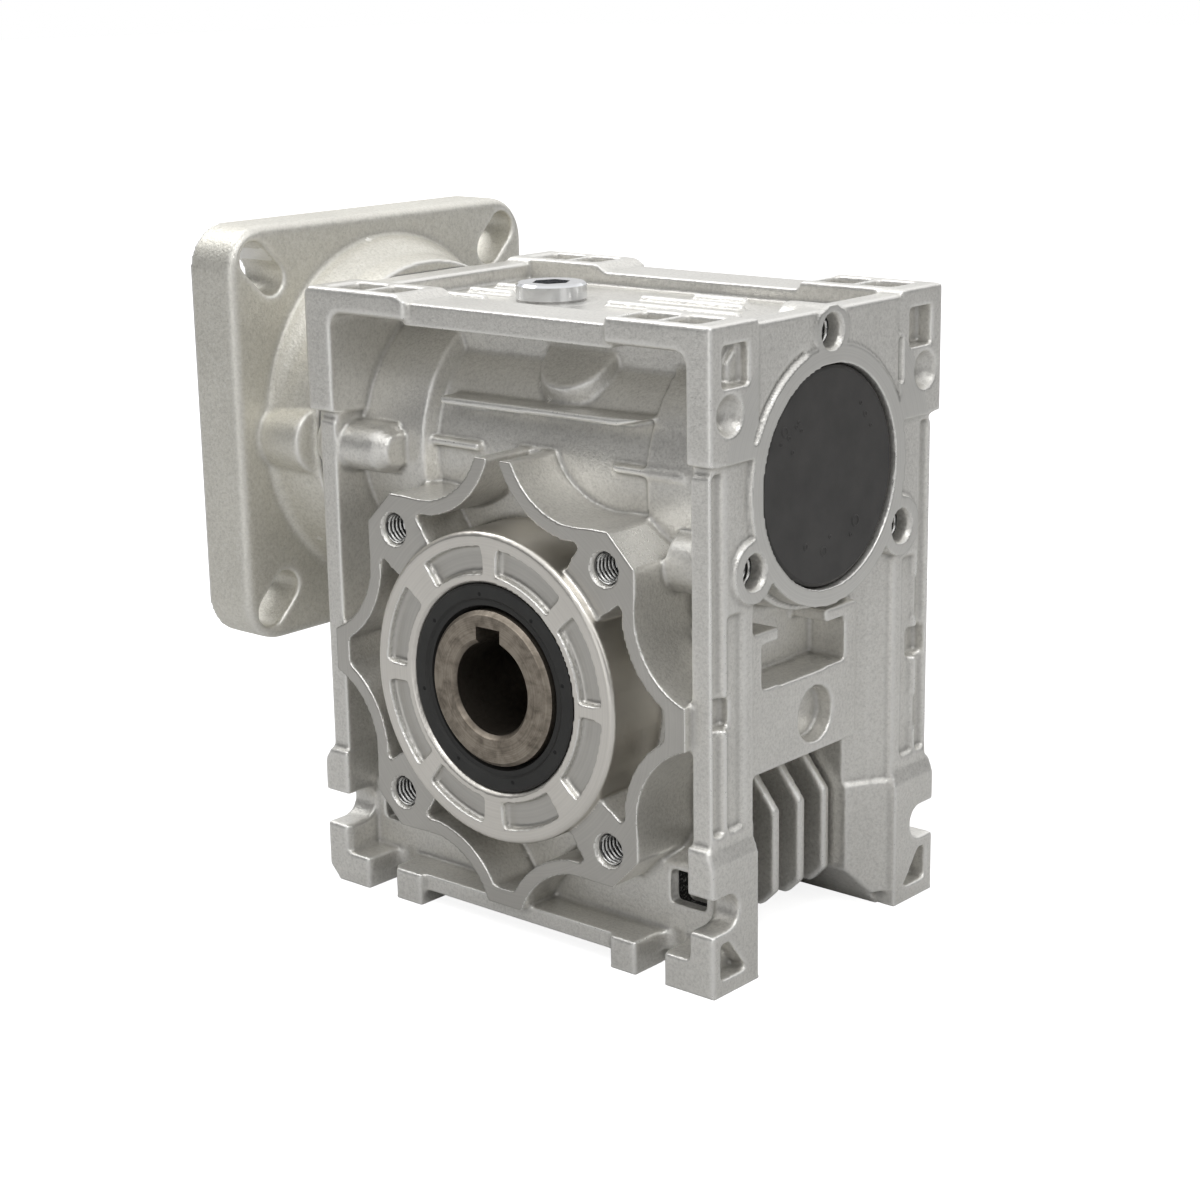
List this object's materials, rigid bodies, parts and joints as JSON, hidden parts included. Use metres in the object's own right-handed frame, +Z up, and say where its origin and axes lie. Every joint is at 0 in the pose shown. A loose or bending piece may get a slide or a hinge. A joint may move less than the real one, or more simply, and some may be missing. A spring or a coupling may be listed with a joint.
{
  "type": "worm gear reducer",
  "caption": "Right-angle worm gear reducer with a hollow output shaft, a square motor flange, slotted feet, a finned cast housing and machined side faces.",
  "frame": {"origin": "on the output shaft axis at the middle of the housing's width", "axes": "+Z up; Y along the output shaft, -Y is the side with the one-piece housing wall, +Y the side with the bolted cover; worm along X, motor flange towards -X, end cap towards +X"},
  "size_m": [0.1252, 0.084, 0.132],
  "materials": {
    "cast_alloy": "shot-blasted die casting, satin",
    "flange_alloy": "shot-blasted die casting, slightly warmer",
    "bearing_steel": "ground",
    "cage_steel": "pressed sheet",
    "worm_steel": "ground and hardened",
    "hub_steel": "turned, lightly browned",
    "bronze": "machined",
    "seal_rubber": "matt",
    "cap_rubber": "satin",
    "screw_steel": "dark",
    "spring_steel": "phosphated",
    "zinc": "zinc plated",
    "washer_zinc": "flat ring"
  },
  "bodies": {
    "gearbox": {"housing": "cast_alloy", "output_cover": "cast_alloy", "cover_o_ring": "seal_rubber", "cover_screws": "screw_steel", "motor_flange": "flange_alloy", "flange_gasket": "seal_rubber", "flange_screws": "screw_steel", "input_bearing_outer": "bearing_steel", "input_seal": "seal_rubber", "rear_bearing_outer": "bearing_steel", "bore_circlip": "spring_steel", "end_cap": "cap_rubber", "front_bearing_outer": "bearing_steel", "back_bearing_outer": "bearing_steel", "front_seal": "seal_rubber", "back_seal": "seal_rubber", "oil_plug": "zinc", "plug_washer": "washer_zinc"},
    "output": {"hollow_shaft": "hub_steel", "worm_wheel": "bronze", "front_bearing_inner": "bearing_steel", "back_bearing_inner": "bearing_steel"},
    "worm": {"worm_shaft": "worm_steel", "input_bearing_inner": "bearing_steel", "rear_bearing_inner": "bearing_steel", "worm_circlip": "spring_steel"},
    "input_cage": {"input_bearing_cage": "cage_steel", "input_bearing_balls": "bearing_steel"},
    "rear_cage": {"rear_bearing_cage": "cage_steel", "rear_bearing_balls": "bearing_steel"},
    "front_cage": {"front_bearing_cage": "cage_steel", "front_bearing_balls": "bearing_steel"},
    "back_cage": {"back_bearing_cage": "cage_steel", "back_bearing_balls": "bearing_steel"}
  },
  "joints": [
    {"name": "output_spin", "type": "hinge", "parent": "gearbox", "child": "output", "pos_m": [0, 0, 0], "axis": [0, 1, 0], "continuous": true},
    {"name": "worm_spin", "type": "hinge", "parent": "gearbox", "child": "worm", "pos_m": [0, 0, 0.04], "axis": [1, 0, 0], "continuous": true},
    {"name": "front_cage_spin", "type": "hinge", "parent": "gearbox", "child": "front_cage", "pos_m": [0, -0.0235, 0], "axis": [0, 1, 0], "continuous": true},
    {"name": "back_cage_spin", "type": "hinge", "parent": "gearbox", "child": "back_cage", "pos_m": [0, 0.0235, 0], "axis": [0, 1, 0], "continuous": true},
    {"name": "input_cage_spin", "type": "hinge", "parent": "gearbox", "child": "input_cage", "pos_m": [-0.037, 0, 0.04], "axis": [1, 0, 0], "continuous": true},
    {"name": "rear_cage_spin", "type": "hinge", "parent": "gearbox", "child": "rear_cage", "pos_m": [0.035, 0, 0.04], "axis": [1, 0, 0], "continuous": true}
  ],
  "couplings": [
    {"joint": "worm_spin", "follows": "output_spin", "ratio": -30},
    {"joint": "front_cage_spin", "follows": "output_spin", "ratio": 0.4118},
    {"joint": "back_cage_spin", "follows": "output_spin", "ratio": 0.4118},
    {"joint": "input_cage_spin", "follows": "output_spin", "ratio": -12.25},
    {"joint": "rear_cage_spin", "follows": "output_spin", "ratio": -11.37}
  ]
}
